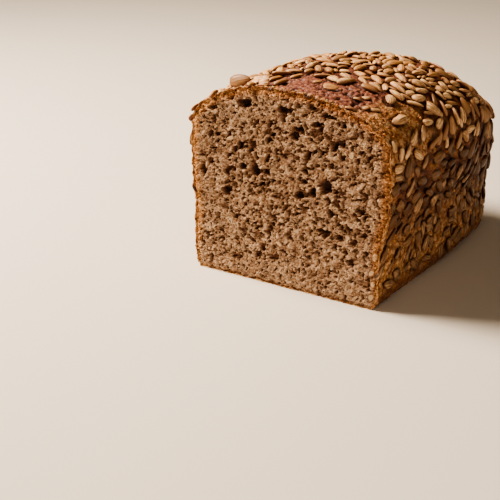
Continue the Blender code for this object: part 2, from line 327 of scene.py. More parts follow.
def gas_cell(place, spacing, closed_share, drift):
    """How deep a gas cell is at a place, from 0 on its walls to 1: few are deep, and more are shallow."""
    distances, middles = noise.voronoi(place / (spacing * MM) + Vector((drift, drift, drift)))
    share = 0.5 + 0.5 * noise.cell(37.7 * middles[0])
    shallow = eased(share, closed_share - 0.45, closed_share)
    deep = eased(share, closed_share - 0.02, closed_share + 0.06)
    return (0.04 + 0.22 * shallow + 0.74 * deep) * eased(distances[1] - distances[0], 0.03, 0.18)


def dent(place):
    """1 in the middle of a dent that a lost kernel left, down to 0 at its edge."""
    for across, behind, turn, length, width in DENTS:
        x, y = (place.x - MIDDLE) / MM - across, (place.y - FRONT) / MM - behind
        off = off_middle(x, y, turn, length, width)
        if off < 1 and place.z > BARE_BOTTOM:
            return 1 - off * off
    return 0


def pitting(place, bare):
    """How deep the skin is broken open at a place, from 0 to 1, by gas cells or by a lost kernel."""
    dented = dent(place)
    if dented > 0:
        return 0.4 + 0.6 * dented
    warped = place + noise.noise_vector(place / (1.6 * MM)) * 0.5 * MM
    cells = max(gas_cell(warped, 2.7, 0.72, 3), 0.7 * gas_cell(warped, 1.4, 0.6, 9))
    amber = eased_mm(place.x - FLOURY_RIGHT, -6, 4)
    return (0.3 + 0.7 * bare * (1 - amber)) * cells


def relief(place, normal, bare, pit):
    """How far the crust's skin stands out at a place, in millimetres."""
    rough = sum(height * grain(place, size) for height, size in ROUGHNESS)
    top = eased(normal.z, 0.2, 0.6)
    amber = bare * eased_mm(place.x - FLOURY_RIGHT, -4, 6)
    by_cut = eased_mm(place.y - FRONT, 6.5, 2) * (1 - 0.6 * eased(normal.x, 0.3, 0.8))
    blistered = max(0.3 * amber, 0.9 * by_cut, 0.4 * (1 - top))
    wrinkled = sum(height * abs(grain(place, size, drift)) for height, size, drift in WRINKLES)
    ribs = noise.noise(Vector((place.x / RIB_WIDTH, place.y / RIB_WIDTH, place.z / RIB_LENGTH)) / MM)
    foot = eased_mm(place.z, 18, 9)
    raised = blistered * dimples(place, *BLISTERS, 5) + 0.45 * top * wrinkled + RIB_HEIGHT * foot * ribs
    return (1 - 0.5 * bare) * rough - PIT_DEPTH * pit + raised


def add_lip(form):
    """Turns the crust in along the cut, then back into the loaf, and closes it behind the crumb."""
    edges = [e for e in form.edges if e.is_boundary]
    for vert in form.verts:
        behind = vert.co.y - FRONT
        if behind < EDGE_REACH:
            vert.co.y += ragged_edge(vert.co) * (1 - behind / EDGE_REACH)
    for inward, back in ((LIP, 0.1 * MM), (0, RECESS)):
        edges = extruded(form, edges)
        for vert in {v for e in edges for v in e.verts}:
            vert.co -= outward(vert.co) * inward
            vert.co.y += back
    bmesh.ops.edgeloop_fill(form, edges=edges)


# ---- Sunflower kernels ----

# Kernels that stand out on top: across, behind the cut, turn in degrees, length and width in mm
TOP_KERNELS = (
    (-32, 4, 25, 6, 5), (-7, 9, 78, 10, 4), (-15, 17, 82, 9.5, 4), (-7, 23, 66, 8, 3.5),
    (6, 20, 55, 5, 3), (-13, 30, 22, 9, 5), (17, 28, 66, 11.5, 4.5), (10, 28, -25, 8, 5.8),
    (12, 36, -22, 8, 5), (8, 42, 21, 5.5, 4), (-1, 46, -3, 7.5, 5), (2, 52, 17, 7, 5),
    (11, 52, 86, 11, 4.5), (5, 62, 73, 9, 5), (-10, 42, 88, 11, 4), (-23, 46, 25, 6, 5),
    (-26, 36, 90, 11, 4), (22, 35, -35, 8.5, 4.5), (25, 43, -33, 9.5, 5.5), (29, 34, -14, 9, 4),
    (35, 45, -13, 10.5, 5), (24, 51, 10, 7, 5.5), (30, 58, -34, 10, 5.5), (32, 64, 32, 6.5, 5),
    (31, 74, 85, 11, 4), (26, 75, -32, 8, 5), (35, 83, 82, 11, 4), (37, 75, 79, 7, 4),
    (38, 68, 8, 6.5, 5), (39, 29, -64, 8.5, 6.4), (48.4, 20.2, -92, 12.5, 6.6), (37, 54, 7, 6.5, 6),
    (40, 47, 78, 7, 5), (44, 49, 78, 10.5, 6.5), (41, 58, 71, 9.5, 5), (50, 51, 40, 9, 7),
    (48, 85, 60, 8, 5), (47, 75, 63, 7, 4.5), (46, 68, 3, 6.5, 4.5), (42, 80, -25, 7, 6),
    (42, 94, 83, 9.5, 5), (33, 98, 58, 9, 5), (30, 14.5, 20, 4, 3.4), (32, 19.5, 70, 4.5, 4),
    (37, 10.8, 80, 5, 3.4), (40, 14, 60, 6, 2.6), (32.5, 3.5, 30, 5, 3),
)
# Kernels on top that lean, their flat side to the cut: the same, the lean in degrees and the tone; the first
# one's dark tone is painted shade that holds back the strong light on its face
LEANING_KERNELS = (
    (-26, 4, 8, 11.5, 7.5, 78, 1.0), (-13, 4, 12, 5.5, 6.5, 45, 0.3),
    (16, 15, 30, 7.5, 5.6, 25, 0.15),
)
# Kernels on the right side: behind the cut, up, turn, length and width
RIGHT_KERNELS = (
    (4, 79, 65, 6, 3.6), (9, 74, -83, 7.5, 4.4), (16, 74, 50, 8, 4.5), (28, 69, -35, 9.5, 4.8),
    (37, 64, 35, 9.5, 4.4), (8, 68, -6, 9.5, 4.5), (9, 63.5, -11, 8.5, 3.6), (5, 59, 30, 7, 4.6),
    (34, 55, -9, 10.5, 5), (68, 44, -33, 10, 4.4), (41, 47.5, -24, 10, 3.8), (57, 58, -6, 8.5, 3.6),
    (68, 51, 36, 6.7, 5), (88, 57, 45, 11, 5), (87, 48, 45, 9.5, 5), (116, 42, -67, 8.5, 6),
    (20, 45, 41, 7.5, 5.5), (27, 49, 44, 7.5, 5), (26, 33, -10, 8, 5), (30, 26, 19, 9.8, 3.5),
    (10, 34, 63, 9.5, 3.6), (5, 27, 55, 9, 3.6), (13, 18, 42, 8, 3.8), (31, 11, 34, 6, 4.5),
    (20, 12, -5, 8, 5.6), (12, 10, -15, 10, 4), (69, 38, -26, 9.5, 3.6), (80, 21, -9, 8.5, 3.6),
    (78, 26, 6, 7.5, 5), (115, 24, -21, 10, 4), (123, 28, 45, 10, 5), (101, 26, -64, 10, 5),
    (117, 17, -86, 8.8, 4.6), (90, 25, 64, 8, 5), (97, 17, -61, 9.5, 4.6), (52, 30, -3, 7.5, 4),
    (54, 46.5, -50, 10, 4.6), (39, 42.5, -65, 8.5, 4.2), (17, 36, 49, 7, 4), (38, 33, 28, 8, 4),
    (20, 23, 40, 7.5, 4), (41, 81, -12, 8.5, 3.8), (50, 79, 20, 9.5, 4), (33.5, 78, 55, 8.5, 4.6),
    (24, 78, 30, 9.5, 4.6), (54, 83, -59, 7, 5), (95, 66, 54, 9, 5), (68, 78, 80, 9, 4),
    (76, 77, 60, 9, 4.5),
)
SLIMMER = 0.84  # the widths noted on top take in each kernel's shaded flank
THICKNESS = 0.31  # of the length
PRESSED_BELOW = 66 * MM  # under this the tin's wall pressed the kernels flat into the crust
LOWEST_KERNEL = 9 * MM
NEAR = 12 * MM  # no two kernels touch from further apart
BROKEN_FROM = 0.65  # a kernel that is wider than this share of its length is a broken bit
# Rounds of random kernels: how many places are tried, the lengths in mm, the broken share and the overlap
ROUNDS = (
    (14000, 8.6, 10.4, 0, -0.16),
    (14000, 7.6, 9.4, 0.08, -0.08),
    (10000, 6.2, 8, 0.15, 0),
    (8000, 4.6, 6.4, 0.3, 0.08),
)
PRESSED_OVERLAP, LOOSE_OVERLAP = -0.04, 0.18  # what these add to the overlap
SLIMNESS = 0.36, 0.48  # the widths as shares of the length, which the next two change
BROKEN_WIDTH, PRESSED_WIDER = 0.76, 1.28
KERNEL_SIDES, KERNEL_RINGS = 12, 6
BREAK_RING = 0.4, 0.45  # the ball's last ring, at a broken kernel's end, lies between these
# How kernels lie, as ranges: their height off the crust in thicknesses, their slopes along and across
PRESSED_LIE = (-0.2, 0.24), (-0.1, 0.1), (-0.3, 0.3)
LOOSE_LIE = (0.1, 0.42), (-0.16, 0.16), (-0.5, 0.5)
# the last of these is the tone of the painted shade on the kernels of the right side
GOLDEN, PALE, SHADE_TONE = 0.17, 0.45, 0.97  # places on the kernels' tones
GROOVE_WIDTH = 0.7 * MM  # of the groove round a kernel, whose crust is painted dark as shade
GROOVE_DEPTH, PRESSED_GROOVE_DEPTH = 0.5, 1.0  # in mm


class Kernel:
    """A kernel's place on the crust: its middle, its own axes, its length and width, and how it lies."""

    def __init__(self, place, normal, along, turn, length, width, lean=0, tone=None, noted=False):
        across = normal.cross(along).normalized()
        along = across.cross(normal)
        turn, lean = math.radians(turn), math.radians(lean)
        self.along = along * math.cos(turn) + across * math.sin(turn)
        across = normal.cross(self.along)
        self.across = across * math.cos(lean) + normal * math.sin(lean)
        self.normal = normal * math.cos(lean) - across * math.sin(lean)
        self.place = place + normal * 0.45 * width * math.sin(lean)
        self.length, self.width, self.tone = length, width, tone
        self.broken, self.leaning, self.noted = width > BROKEN_FROM * length, lean > 0, noted
        self.pressed = place.z < PRESSED_BELOW + 5 * MM * grain(place, 12, 5)
        step = self.along * (0.5 * length - 0.45 * width)
        self.spots = (place - step, place, place + step)  # these stand for its outline


class Cover:
    """The kernels laid so far, sorted into cells so that neighbours are found quickly."""

    def __init__(self):
        self.kernels, self.cells = [], {}

    def cell(self, place):
        return tuple(math.floor(value / NEAR) for value in place)

    def lay(self, kernel):
        self.kernels.append(kernel)
        self.cells.setdefault(self.cell(kernel.place), []).append(kernel)

    def fits(self, kernel, overlap):
        """Whether a kernel keeps clear of those laid so far, but for a share of their widths."""
        x, y, z = self.cell(kernel.place)
        for key in ((x + i, y + j, z + k) for i in (-1, 0, 1) for j in (-1, 0, 1) for k in (-1, 0, 1)):
            for other in self.cells.get(key, ()):
                if (other.place - kernel.place).length > NEAR:
                    continue
                apart = 0.5 * (kernel.width + other.width) * (1 - overlap)
                if any((p - q).length < apart for p in kernel.spots for q in other.spots):
                    return False
        return True


def lay_noted(cover, crust):
    """Lays the kernels that are noted, where a line down or from the right meets the crust."""
    over, beside = 2 * CROWN, 2 * BASE_HALF
    for across, behind, turn, length, width, *lean in TOP_KERNELS + LEANING_KERNELS:
        start = Vector((MIDDLE + across * MM, FRONT + behind * MM, over))
        place, normal = crust.ray_cast(start, -UPWARD)[:2]
        sizes = length * MM, SLIMMER * width * MM
        cover.lay(Kernel(place, normal, ACROSSWARD, turn, *sizes, *lean, noted=True))
    for behind, up, turn, length, width in RIGHT_KERNELS:
        start = Vector((beside, FRONT + behind * MM, up * MM))
        place, normal = crust.ray_cast(start, -ACROSSWARD)[:2]
        cover.lay(Kernel(place, normal, LENGTHWARD, turn, length * MM, width * MM, noted=True))


def stays_bare(place, normal):
    """Whether no random kernel lies at a place."""
    if place.z < LOWEST_KERNEL + 7 * MM * grain(place, 15, 8) or normal.z < -0.5:
        return True
    if normal.z < 0.3 and grain(place, 11, 16) > 0.34 - 0.36 * eased_mm(place.z, 45, 20):
        return True
    by_cut = 3 * MM if normal.z < 0.5 else 1.5 * MM
    return place.y - FRONT < by_cut or bareness(place) > 0.3 or dent(place) > 0


def random_places(form, rng, count):
    """Points drawn from the crust's faces by their area, each with its face's normal."""
    faces = [f for f in form.faces if len(f.verts) < MANY_SIDED]
    for face in rng.choices(faces, weights=[f.calc_area() for f in faces], k=count):
        yield face.calc_center_median(), face.normal.copy()


def scatter_kernels(cover, form, rng):
    """Fills the crust between the noted kernels, the longest first and broken bits last."""
    for count, shortest, longest, broken_share, overlap in ROUNDS:
        for place, normal in random_places(form, rng, count):
            length = rng.uniform(shortest, longest) * MM
            turn, slim = rng.uniform(-90, 90), rng.uniform(*SLIMNESS)
            broken = rng.random() < broken_share
            if stays_bare(place, normal):
                continue
            behind = place.y - FRONT
            on_side, heel = normal.z < 0.5, normal.y > 0.7
            if on_side and (heel or behind > 100 * MM):
                turn = 90 + 0.35 * turn  # most stand upright there
            elif on_side and behind < 36 * MM and place.z < 42 * MM:
                turn, slim = 58 + 0.2 * turn, 0.75 * slim  # these lie aslant, seen edge on
            if on_side and place.z < PRESSED_BELOW:
                slim *= PRESSED_WIDER
            along = ACROSSWARD if heel else LENGTHWARD
            width = length * (BROKEN_WIDTH if broken else slim)
            kernel = Kernel(place, normal, along, turn, length, width)
            if cover.fits(kernel, overlap + (PRESSED_OVERLAP if kernel.pressed else LOOSE_OVERLAP)):
                cover.lay(kernel)


def kernel_shape(u, v, w, kernel):
    """Shapes a point of a ball one unit across: u runs along the kernel, v across and w out of the crust."""
    if kernel.broken:
        u = max(min(1.9 * u, 0.42), -0.42)
        taper = 1
    else:
        taper = (1 - 0.34 * (u + 0.2)) * (1 - 0.32 * eased(u, 0.1, 0.5)) * (1 + 1.6 * u * u)
    keel = 1 - 0.5 * abs(2 * v)
    v *= taper
    w *= taper * (0.45 + 0.55 * keel)
    w = 0.4 * math.tanh(2.8 * w) if kernel.pressed else 0.56 * math.tanh(1.7 * w)
    return u, v, w


def kernel_tone(kernel, tone):
    """A drawn tone: painted shade makes it duller on the right side and golden on the strongly lit left one,
    and painted light paler low down.
    """
    if kernel.leaning:
        return kernel.tone
    place = kernel.place
    # painted shade: kernels facing right are darkened, more so further back, and those facing the strong
    # light on the left are darkened to gold
    facing_right, facing_left = eased(kernel.normal.x, 0.1, 0.7), eased(kernel.normal.x, -0.02, -0.3)
    if not kernel.noted:
        painted_right_shade = 0.3 + 0.7 * eased(abs(tone - 0.3), 0.1, 0.17)  # about one in four stays fairly pale
        painted_right_shade *= 0.7 + 0.24 * eased_mm(place.y, -30, 30)
        tone += (SHADE_TONE - tone) * facing_right * painted_right_shade
    # noted kernels facing right stay pale high up and take the painted shade lower down
    elif facing_right > 0.5:
        tone = 0.42 + 0.2 * tone if place.z > 62 * MM else 0.74 + 0.24 * tone  # paler high up
    tone += (GOLDEN - tone) * 0.75 * facing_left
    # painted light: low kernels near the cut are made paler, standing in for light bounced up from the floor
    low = 0.7 * eased_mm(place.z, 46, 20) * (1 - 0.6 * eased_mm(place.y, 15, 50))
    return tone + (PALE - tone) * low


def kernel_lie(kernel, rng):
    """A kernel's height off the crust, in thicknesses, and its slopes along and across."""
    lie = [rng.uniform(*ends) for ends in PRESSED_LIE]
    if kernel.pressed:
        return lie
    standoff, tilt, roll = (rng.uniform(*ends) for ends in LOOSE_LIE)
    looseness = 0.3 if kernel.noted else 1
    return standoff, looseness * tilt, looseness * roll


def shape_kernel(verts, layers, kernel, rng):
    """Gives a ball's points the kernel's shape and place, and notes its tone, height and own grain there."""
    tone, own = kernel_tone(kernel, rng.random()), rng.uniform(0, 900)
    thickness = THICKNESS * kernel.length * rng.uniform(0.85, 1.2) * (0.7 if kernel.leaning else 1)
    standoff, tilt, roll = kernel_lie(kernel, rng)
    sag = rng.uniform(0.2, 0.6)
    unevenness = 0.3 if kernel.pressed else 0.16
    if kernel.broken:
        for edge in {e for v in verts for e in v.link_edges}:
            if all(BREAK_RING[0] < abs(v.co.x) < BREAK_RING[1] for v in edge.verts):
                edge.smooth = False
    for vert in verts:
        u, v, w = kernel_shape(*vert.co, kernel)
        uneven = 1 + unevenness * noise.noise(Vector((3 * u, 4 * v, own)))
        along, across = u * kernel.length, v * kernel.width * uneven
        across += 0.5 * kernel.width * unevenness * noise.noise(Vector((2 * u, own, 0)))
        up = (w + standoff) * thickness + tilt * along + roll * across - sag * u * u * thickness
        vert[layers["tone"]] = tone
        vert[layers["rise"]] = w
        vert[layers["grain"]] = (along / MM, across / MM, own)
        vert.co = kernel.place + kernel.along * along + kernel.across * across + kernel.normal * up
        vert.co.z = max(vert.co.z, LEAST_HEIGHT)


def kernel_ball():
    """A ball one unit across, its poles along X, with sharp ridges from pole to pole."""
    ball = bmesh.new()
    bmesh.ops.create_uvsphere(ball, u_segments=KERNEL_SIDES, v_segments=KERNEL_RINGS, radius=0.5)
    bmesh.ops.rotate(ball, verts=ball.verts, matrix=Matrix.Rotation(math.pi / 2, 3, "Y"))
    for edge in ball.edges:
        ends = [v.co for v in edge.verts]
        lengthwise = abs(ends[0].x - ends[1].x) > 0.01
        edge.smooth = not (lengthwise and max(co.z for co in ends) > 0.2)
    return ball


def kernel_piece(name, kernels, material, rng):
    """One piece of all these kernels, each a ball that is then shaped and laid in its place."""
    form = copies(kernel_ball(), len(kernels))
    layers = {key: form.verts.layers.float.new(key) for key in ("tone", "rise")}
    layers["grain"] = form.verts.layers.float_vector.new("grain")
    for kernel, verts in zip(kernels, shared_out(form, len(kernels))):
        shape_kernel(verts, layers, kernel, rng)
    finished(name, form, material)


def colouring(place, normal, bare):
    """How floury the skin is at a place, and how far it stayed amber instead of brown, which low down is
    partly painted light.
    """
    wave = grain(place, 6, 14) + 0.6 * grain(place, 2.2, 15)
    behind = (place.y - FRONT) / MM + 1.2 * wave
    right_end = FLOURY_RIGHT + (4 * wave + 0.3 * min(behind, 30) - 5) * MM  # the flour's edge runs aslant
    leftward = eased_mm(place.x - right_end, 4, -6)
    patch = 0.4 * eased(grain(place, 9, 17) + 0.3 * wave, 0, 0.45) * eased(normal.z, 0.5, 0.2)
    patch *= 1 - 0.7 * eased(behind, 80, 115)
    floury = leftward * eased(normal.z, 0.45, 0.8) * (0.6 + 0.4 * bare) * eased(behind, 1.2, 3.4)
    by_cut = eased(behind, 5.5, 2) * (1 - (0.7 - 0.4 * leftward) * eased(normal.z, 0.3, 0.7))
    # paler low down: partly the tin-baked lower crust, partly painted light standing in for light bounced up
    # from the floor
    low = eased(place.z / MM + 7 * wave, 58, 4) * (1 - 0.8 * eased_mm(place.z, 14, 3))
    shoulder = 0.4 * eased_mm(place.z, 60, 72) * eased(normal.z, 0.92, 0.6) * eased(behind, 80, 40)
    shoulder *= eased_mm(place.x, 20, 36)
    return floury, max(by_cut, low, patch, shoulder, (0.72 - 0.32 * leftward) * bare)


def groove_at(place, tree, kernels):
    """How deep in the groove round the nearest kernel a place lies, 0 to 1, which also paints shade, and
    whether that is pressed.
    """
    gap, by_pressed = 9 * MM, False  # no groove reaches as far
    for _, number, _ in tree.find_n(place, 5):
        kernel = kernels[number]
        offset = place - kernel.place
        u, v = offset.dot(kernel.along) / kernel.length, offset.dot(kernel.across) / kernel.width
        outside = (2 * math.hypot(u, v) - 1) * kernel.width / 2
        if outside < gap:
            gap, by_pressed = outside, kernel.pressed
    groove_and_shade = math.exp(-((max(gap, 0) / GROOVE_WIDTH) ** 2)) * eased_mm(place.y - FRONT, 0.4, 1.6)
    groove_and_shade *= 0.35 + 0.65 * eased(grain(place, 6, 40), -0.35, 0.2)
    return groove_and_shade * (1 - 0.26 * eased_mm(place.z, 40, 15)), by_pressed


def dress_crust(form, kernels):
    """Gives the skin its relief, sinks it round each kernel and notes what its colours need."""
    layers = [form.verts.layers.float.new(key) for key in ("groove_and_shade", "pit", "floury", "amber")]
    tree = kdtree.KDTree(len(kernels))
    for number, kernel in enumerate(kernels):
        tree.insert(kernel.place, number)
    tree.balance()
    steps = []
    for vert in form.verts:
        groove_and_shade, by_pressed = groove_at(vert.co, tree, kernels)
        depth = PRESSED_GROOVE_DEPTH if by_pressed else GROOVE_DEPTH
        bare = bareness(vert.co)
        pit = pitting(vert.co, bare)
        for layer, value in zip(layers, (groove_and_shade, pit, *colouring(vert.co, vert.normal, bare))):
            vert[layer] = value
        steps.append(vert.normal * (relief(vert.co, vert.normal, bare, pit) - depth * groove_and_shade) * MM)
    for vert, step in zip(form.verts, steps):
        move(vert, step)


# ---- The crumb ----

CRUMB_ACROSS, CRUMB_UP = 318, 300  # cells of about a third of a millimetre
CRUMB_RIM = 0.3 * MM
SLAB = 4.7 * MM  # how far the slab of crumb reaches into the loaf
DEEPEST = 4.1  # pore, in mm
# Gas cells in mm: depth, the share of it that only open crumb has, spacing, the closed share in dense
# crumb, how much smaller that is in open crumb, and drift
GAS_CELLS = (
    (3.0, 0.6, 3.3, 0.98, 0.15, 11),
    (2.1, 0.5, 2.1, 0.97, 0.17, 57),
    (2.4, 0, 1.3, 0.91, 0.11, 83),
)
WARPS = (4.2, 1.3), (1.5, 0.6)  # sizes and lengths in mm of what bends the cells
RIM_LUMPS = 1.7, 0.5, 1.1  # spacing, smallest and largest radius in mm of the browned rim's knobs

# The crumb's open pores: across, up, width and height in mm
LARGE_PORES = (
    (-22, 88, 8, 3.8), (-1, 88, 6, 4.8), (-8, 80, 3, 4.2), (7, 80, 7, 3), (18, 84, 5.8, 3.2),
    (24, 89, 7.5, 3.2), (13, 69, 4.3, 4.8), (27, 75, 3.8, 4), (-16, 57, 5, 8.4), (-23, 57, 5, 3.5),
    (-33, 43, 4.7, 4.2), (23, 55, 6.4, 7), (16, 51, 4.8, 4.9), (8, 48, 4.8, 3.4), (1, 41, 3, 3),
    (22, 33, 8.5, 3.5), (31, 32, 4.2, 3), (26, 43, 3.7, 4), (-45, 81.3, 3.5, 1.8),
    (-41.5, 83.2, 4.5, 1.8),
)
# Kernels that the knife went through: across, up, turn in degrees, length and width in mm
CUT_KERNELS = (
    (36, 72.5, 70, 3.2, 2.4), (-30, 70, 20, 4, 1.6), (-2, 22, -30, 3.6, 2), (48.2, 6.5, 70, 3.4, 2.4),
    (49, 13, 90, 2.6, 2.4), (48.2, 18.5, 50, 3.4, 2.2), (49.6, 26.5, 80, 3.8, 2.4),
)
RING_END = 1.35  # a brown ring round each ends at this many times its radius


def cut_point(a, c):
    """A point of the cut face: a is -1 to 1 across and c is 0 to 1 up."""
    dome = 1 - abs(a) ** DOME_ROUND
    ceiling = SHOULDER + (CROWN - SHOULDER) * dome ** (1 / DOME_RISE)
    z = CRUMB_RIM + c * (ceiling - 2 * CRUMB_RIM)
    half = half_width(a > 0, min(z, SHOULDER), SHOULDER) - CRUMB_RIM
    return Vector((MIDDLE + a * half, FRONT, z)), ceiling


def crust_distance(place, ceiling):
    """How far a point of the cut lies inside the crust."""
    side = half_width(place.x > MIDDLE, min(place.z, SHOULDER), SHOULDER) - abs(place.x - MIDDLE)
    return min(side, place.z, 0.85 * (ceiling - place.z))


def large_pores(place):
    """How deep one of the large pores is at a place, in mm."""
    depth = 0
    wave = 0.5 * grain(place, 2.6, 31) + 0.3 * grain(place, 1.2, 32)
    for across, up, width, height in LARGE_PORES:
        u = (place.x - MIDDLE - across * MM) / (0.5 * width * MM)
        v = (place.z - up * MM) / (0.5 * height * MM)
        if abs(u) < 1.6 and abs(v) < 1.6:
            left = 1 - (math.hypot(u, v) + wave) ** 2
            depth = max(depth, min(width + height, 8) * 0.5 * max(left, 0) ** 0.3)
    return depth


def cut_kernel(place):
    """1 on a kernel that the knife went through, -1 on the brown ring round it, and 0 elsewhere."""
    for across, up, turn, length, width in CUT_KERNELS:
        x, z = (place.x - MIDDLE) / MM - across, place.z / MM - up
        off = off_middle(x, z, turn, length, width)
        if off < RING_END:
            return 1 if off < 1 else -1
    return 0


def crumb_depth(place, inside):
    """How deep the crumb's pores are at a place of the cut, and how far its torn surface wanders, in mm."""
    warp = Vector()
    for size, length in WARPS:
        warp += noise.noise_vector(place / (size * MM)) * length * MM
    open_here = 0.71 + 0.25 * eased_mm(place.z, 4, 50) + 0.28 * grain(place, 9, 2)
    open_here *= 0.3 + 0.7 * eased_mm(inside, 1, 4.5)
    pores = 0
    for depth, more, spacing, closed, opened, drift in GAS_CELLS:
        cell = gas_cell(place + warp, spacing, closed - opened * open_here, drift)
        pores = max(pores, depth * (1 - more + more * open_here) * cell)
    pores += 0.55 * gas_cell(place, 0.95, 0.6, 29)
    if inside > 2.2 * MM:
        pores = max(pores, large_pores(place))
    ragged = 0.24 * grain(place, 2.3, 21) + 0.42 * grain(place, 0.8, 22)
    return min(pores, DEEPEST), ragged


def browned_rim(place, out):
    """How much thicker than usual the cut's browned rim is, in mm, how much painted light brightens it, and
    how knobbly in mm.
    """
    at_left, at_right = eased_mm(place.x, -36, -47), eased_mm(place.x, 38, 50)
    at_top = eased(out.z, 0.3, 0.8)
    thicker = max(2.0 * at_left, 1.9 * at_right, 1.1 * at_top) * eased_mm(place.z, 8, 24)
    thinner = 1.3 * eased_mm(place.z, 10, 2)
    # painted highlight: the rim is paler on the left and the top left, where the strong light catches it, and
    # a little on the right
    painted_rim_light = max(at_left, 0.15 * at_right, 0.35 * at_top * eased_mm(place.x, 10, -30))
    return thicker - thinner, painted_rim_light, 0.7 - 0.4 * at_right


def outline_step(place, out, inside):
    """How a point of the cut moves outwards, so that the cut's outline follows the crust's skin."""
    step = lump(place) * eased_mm(inside, 12, 2)
    if inside < 3 * MM:
        bare = bareness(place)
        skin = relief(place, out, bare, pitting(place, bare))
        step += skin * MM * eased(inside, 3 * MM, CRUMB_RIM)
    return out * step


def crumb_piece(material):
    """The slab of crumb: a fine grid laid on the cut, sunk into pores, and closed behind."""
    form = bmesh.new()
    bmesh.ops.create_grid(form, x_segments=CRUMB_ACROSS, y_segments=CRUMB_UP, size=0.5)
    layers = [form.verts.layers.float.new(key) for key in ("pit", "edge", "seed", "lumps", "painted_rim_light")]
    for vert in form.verts:
        place, ceiling = cut_point(2 * vert.co.x, vert.co.y + 0.5)
        inside, out = crust_distance(place, ceiling), outward(place)
        depth, ragged = crumb_depth(place, inside)
        seed = cut_kernel(place)
        if seed:
            depth, ragged = 0.1 if seed > 0 else 0.6, 0.3 * ragged
        lumps = dimples(place, *RIM_LUMPS, 7)
        thicker, painted_rim_light, knobs = browned_rim(place, out)
        for layer, value in zip(layers, (depth, inside / MM - thicker, seed, lumps, painted_rim_light)):
            vert[layer] = value
        vert.co = place + outline_step(place, out, inside)
        vert.co.z = max(vert.co.z, LEAST_HEIGHT)
        vert.co.y += (depth + ragged * eased_mm(inside, 0.6, 1.6)) * MM
        vert.co.y += knobs * (1 - lumps) * eased_mm(inside, 4, 1.5) * MM
        vert.co.y += ragged_edge(place) * eased(inside, 2.2 * MM, CRUMB_RIM)
    edges = extruded(form, [e for e in form.edges if e.is_boundary])
    for vert in {v for e in edges for v in e.verts}:
        vert.co.y = FRONT + SLAB
    bmesh.ops.edgeloop_fill(form, edges=edges)
    bmesh.ops.recalc_face_normals(form, faces=form.faces)
    finished("crumb", form, material, smooth=False)


# ---- Loose crumbs ----

CRUMBS = 320
LEAST_CRUMB, LARGEST_CRUMB = 0.6 * MM, 1.9 * MM
CRUMB_TRIES = 60  # places drawn for each crumb


def crumb_places(form, rng):
    """Places for the loose crumbs: they lie densest along the cut and on the patch's amber part."""
    places = []
    for place, normal in random_places(form, rng, CRUMB_TRIES * CRUMBS):
        near_cut = normal.z > 0.1 and place.y - FRONT < 9 * MM
        amber = bareness(place) * eased_mm(place.x - FLOURY_RIGHT, -8, 4)
        chance = 0.05 + 0.3 * near_cut + 0.2 * amber
        if rng.random() < chance and place.z > 3 * MM and place.y - FRONT > 0.6 * MM:
            places.append((place, normal))
    return places[:CRUMBS]


def loose_crumbs(form, rng, material):
    """Crumbs and flakes of crust that stick to the skin."""
    ball = bmesh.new()
    bmesh.ops.create_icosphere(ball, subdivisions=1, radius=0.5)
    places = crumb_places(form, rng)
    crumbs = copies(ball, len(places))
    tone_of = crumbs.verts.layers.float.new("tone")
    for (place, normal), verts in zip(places, shared_out(crumbs, len(places))):
        size = LEAST_CRUMB + (LARGEST_CRUMB - LEAST_CRUMB) * rng.random() ** 3
        shape = Matrix.Diagonal((rng.uniform(0.6, 1.3), rng.uniform(0.6, 1), rng.uniform(0.35, 0.8)))
        turn = normal.to_track_quat("Z", "Y").to_matrix() @ Matrix.Rotation(rng.uniform(0, 6.28), 3, "Z")
        tone, drift = rng.random(), rng.uniform(0, 99)
        for vert in verts:
            bulge = 1 + 0.5 * noise.noise(3 * vert.co + Vector((drift, 0, 0)))
            vert[tone_of] = tone
            vert.co = place + turn @ (shape @ vert.co * bulge) * size + normal * 0.25 * size
    finished("loose_crumbs", crumbs, material)


# ---- Materials ----

def linear(code):
    """An sRGB hex colour as linear RGBA."""
    channels = (int(code[i : i + 2], 16) / 255 for i in (1, 3, 5))
    return (*(c / 12.92 if c <= 0.04045 else ((c + 0.055) / 1.055) ** 2.4 for c in channels), 1)


def feed(tree, node, inputs):
    """Sets a node's inputs to values, or links them to the sockets or nodes that feed them."""
    for key, value in inputs.items():
        if isinstance(value, bpy.types.Node):
            value = value.outputs[0]
        if isinstance(value, bpy.types.NodeSocket):
            tree.links.new(value, node.inputs[key])
        else:
            node.inputs[key].default_value = value


def add(tree, kind, inputs=None, stops=None, **settings):
    """Adds a node, with what feeds its inputs and with a ramp's colours as stops."""
    node = tree.nodes.new("ShaderNode" + kind)
    for name, value in settings.items():
        setattr(node, name, value)
    feed(tree, node, inputs or {})
    if stops:
        ramp = node.color_ramp.elements
        while len(ramp) < len(stops):
            ramp.new(1)
        for element, (position, value) in zip(ramp, stops):
            element.position = position
            element.color = linear(value) if isinstance(value, str) else (value, value, value, 1)
    return node


def begun(name, roughness):
    """A new material, its node tree and its Principled shader."""
    material = bpy.data.materials.new(name)
    material.use_nodes = True
    shader = material.node_tree.nodes["Principled BSDF"]
    shader.inputs["Roughness"].default_value = roughness
    return material, material.node_tree, shader


def layered(tree, ground, *covers):
    """Covers a colour with others in turn, each by the share that comes before it."""
    for share, cover in covers:
        over = linear(cover) if isinstance(cover, str) else cover
        ground = add(tree, "Mix", {0: share, 6: ground, 7: over}, data_type="RGBA").outputs[2]
    return ground


